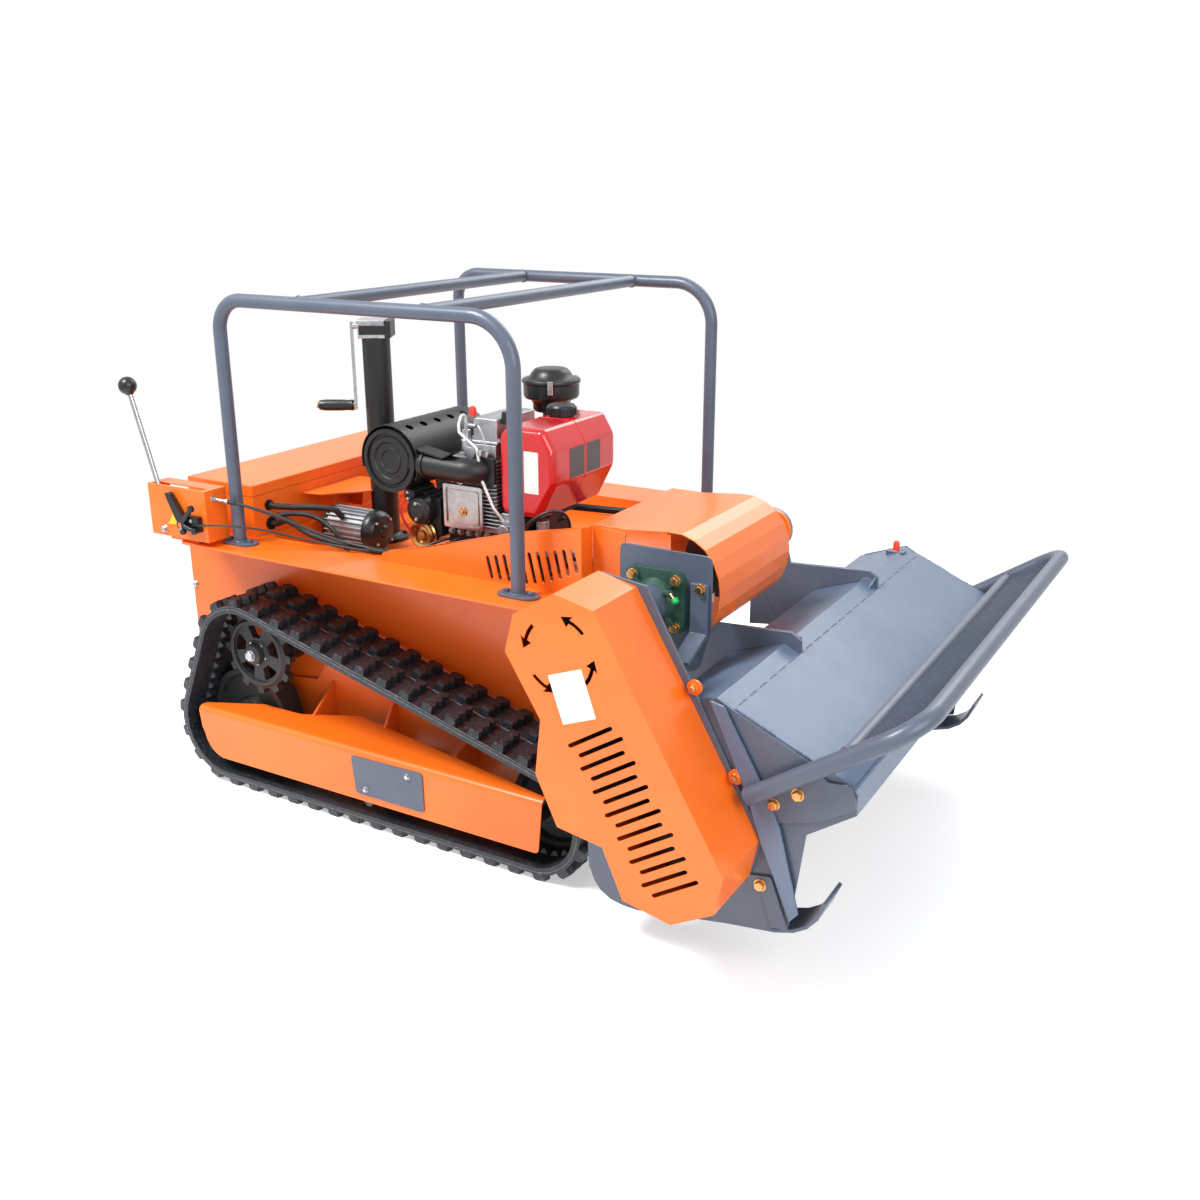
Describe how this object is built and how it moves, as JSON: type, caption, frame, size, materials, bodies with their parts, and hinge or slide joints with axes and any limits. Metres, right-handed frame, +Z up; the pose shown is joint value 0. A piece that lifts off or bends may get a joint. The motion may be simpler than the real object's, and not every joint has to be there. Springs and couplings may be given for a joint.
{
  "type": "tracked drum mulcher",
  "caption": "Tracked remote-style drum mulcher: orange crawler carrier with open engine bay, tube roll hoops and a belt-driven flail head under a slotted guard.",
  "frame": {"origin": "centre of the machine's footprint box, on the ground", "axes": "+X forward towards the cutting head, +Y to the machine's left, +Z up"},
  "size_m": [2.274, 1.4626, 1.3518],
  "materials": {
    "orange_paint": "semi-gloss",
    "slate_paint": "satin",
    "black_paint": "satin",
    "rubber": "matt",
    "red_paint": "gloss",
    "green_paint": "satin",
    "bright_steel": "satin",
    "alloy": "cast",
    "iron": "rough",
    "black_plastic": "matt"
  },
  "bodies": {
    "carrier": {"main_frame": "orange_paint", "deck_plate": "orange_paint", "rear_box": "orange_paint", "front_hood": "orange_paint", "lever_box": "orange_paint", "track_frame_right": "orange_paint", "track_frame_left": "orange_paint", "roll_cage": "slate_paint", "bearing_plate": "slate_paint", "bearing_strut": "slate_paint", "engine_block": "black_paint", "muffler": "black_paint", "jack_column": "black_paint", "drive_motor_right": "black_paint", "drive_motor_left": "black_paint", "track_belt_right": "rubber", "track_belt_left": "rubber", "engine_belt": "rubber", "fuel_tank": "red_paint", "flange_bearing": "green_paint", "jack_head": "bright_steel", "rocker_cover": "alloy", "generator": "alloy", "air_filter": "black_plastic", "control_cable": "black_plastic", "throttle_cable": "black_plastic", "wiring_conduit": "black_plastic"},
    "head": {"head_shell": "slate_paint", "side_plate_right": "slate_paint", "side_plate_left": "slate_paint", "lift_arm_right": "slate_paint", "lift_arm_left": "slate_paint", "bumper_frame": "slate_paint", "bumper_mesh": "slate_paint", "drive_backplate": "slate_paint", "belt_guard": "orange_paint", "drive_belt": "rubber", "rotor_bearing_right": "green_paint", "rotor_bearing_left": "green_paint"},
    "control_lever": {"control_lever": "bright_steel", "lever_knob": "black_plastic"},
    "rotor": {"rotor": "iron"},
    "jackshaft": {"jackshaft": "iron"},
    "crank_pulley": {"crank_pulley": "iron"},
    "rear_lid": {"rear_lid": "orange_paint"},
    "fuel_cap": {"fuel_cap": "black_plastic"},
    "throttle_lever": {"throttle_lever": "black_plastic"},
    "crank_arm": {"crank_arm": "bright_steel"},
    "crank_grip": {"crank_grip": "rubber"},
    "sprocket_right": {"sprocket_right": "iron"},
    "rear_idler_right": {"rear_idler_right": "iron"},
    "front_idler_right": {"front_idler_right": "iron"},
    "road_roller_right": {"road_roller_right": "iron"},
    "sprocket_left": {"sprocket_left": "iron"},
    "rear_idler_left": {"rear_idler_left": "iron"},
    "front_idler_left": {"front_idler_left": "iron"},
    "road_roller_left": {"road_roller_left": "iron"}
  },
  "joints": [
    {"name": "head_lift", "type": "hinge", "parent": "carrier", "child": "head", "pos_m": [0.44101, 0.0673, 0.738], "axis": [0, -1, 0], "range_deg": [-12, 8]},
    {"name": "rotor_spin", "type": "hinge", "parent": "head", "child": "rotor", "pos_m": [0.68801, 0.0673, 0.346], "axis": [0, 1, 0], "continuous": true},
    {"name": "jackshaft_spin", "type": "hinge", "parent": "head", "child": "jackshaft", "pos_m": [0.44101, 0.0673, 0.738], "axis": [0, 1, 0], "continuous": true},
    {"name": "engine_spin", "type": "hinge", "parent": "carrier", "child": "crank_pulley", "pos_m": [-0.09699, 0.0023, 0.745], "axis": [0, 1, 0], "continuous": true},
    {"name": "rear_lid_hinge", "type": "hinge", "parent": "carrier", "child": "rear_lid", "pos_m": [-0.95699, 0.0673, 0.827], "axis": [0, -1, 0], "range_deg": [0, 75]},
    {"name": "fuel_cap_turn", "type": "hinge", "parent": "carrier", "child": "fuel_cap", "pos_m": [0.02201, -0.0357, 1.0563], "axis": [0, 0, 1], "range_deg": [0, 90]},
    {"name": "control_lever_tilt", "type": "hinge", "parent": "carrier", "child": "control_lever", "pos_m": [-0.90399, -0.4777, 0.75], "axis": [0, 1, 0], "range_deg": [-1.5, 45]},
    {"name": "throttle_lever_tilt", "type": "hinge", "parent": "carrier", "child": "throttle_lever", "pos_m": [-0.81999, -0.505, 0.778], "axis": [0, 1, 0], "range_deg": [-15, 40]},
    {"name": "crank_turn", "type": "hinge", "parent": "carrier", "child": "crank_arm", "pos_m": [-0.59362, -0.05385, 1.242], "axis": [-0.866, -0.5, 0], "continuous": true},
    {"name": "crank_grip_spin", "type": "hinge", "parent": "crank_arm", "child": "crank_grip", "pos_m": [-0.65658, -0.0902, 1.032], "axis": [-0.866, -0.5, 0], "continuous": true},
    {"name": "rear_idler_right_spin", "type": "hinge", "parent": "carrier", "child": "rear_idler_right", "pos_m": [-0.84199, -0.2947, 0.175], "axis": [0, 1, 0], "continuous": true},
    {"name": "sprocket_right_spin", "type": "hinge", "parent": "carrier", "child": "sprocket_right", "pos_m": [-0.75699, -0.3527, 0.388], "axis": [0, 1, 0], "continuous": true},
    {"name": "front_idler_right_spin", "type": "hinge", "parent": "carrier", "child": "front_idler_right", "pos_m": [0.16801, -0.2947, 0.155], "axis": [0, 1, 0], "continuous": true},
    {"name": "road_roller_right_spin", "type": "hinge", "parent": "carrier", "child": "road_roller_right", "pos_m": [-0.33699, -0.2947, 0.0803], "axis": [0, 1, 0], "continuous": true},
    {"name": "rear_idler_left_spin", "type": "hinge", "parent": "carrier", "child": "rear_idler_left", "pos_m": [-0.84199, 0.4293, 0.175], "axis": [0, 1, 0], "continuous": true},
    {"name": "sprocket_left_spin", "type": "hinge", "parent": "carrier", "child": "sprocket_left", "pos_m": [-0.75699, 0.4873, 0.388], "axis": [0, 1, 0], "continuous": true},
    {"name": "front_idler_left_spin", "type": "hinge", "parent": "carrier", "child": "front_idler_left", "pos_m": [0.16801, 0.4293, 0.155], "axis": [0, 1, 0], "continuous": true},
    {"name": "road_roller_left_spin", "type": "hinge", "parent": "carrier", "child": "road_roller_left", "pos_m": [-0.33699, 0.4293, 0.0803], "axis": [0, 1, 0], "continuous": true}
  ],
  "couplings": [
    {"joint": "jackshaft_spin", "follows": "rotor_spin", "ratio": 0.7925},
    {"joint": "engine_spin", "follows": "rotor_spin", "ratio": 1.1798},
    {"joint": "sprocket_right_spin", "follows": "rear_idler_right_spin", "ratio": 1.0379},
    {"joint": "front_idler_right_spin", "follows": "rear_idler_right_spin", "ratio": 1.1709},
    {"joint": "road_roller_right_spin", "follows": "rear_idler_right_spin", "ratio": 3.2619},
    {"joint": "sprocket_left_spin", "follows": "rear_idler_left_spin", "ratio": 1.0379},
    {"joint": "front_idler_left_spin", "follows": "rear_idler_left_spin", "ratio": 1.1709},
    {"joint": "road_roller_left_spin", "follows": "rear_idler_left_spin", "ratio": 3.2619}
  ]
}
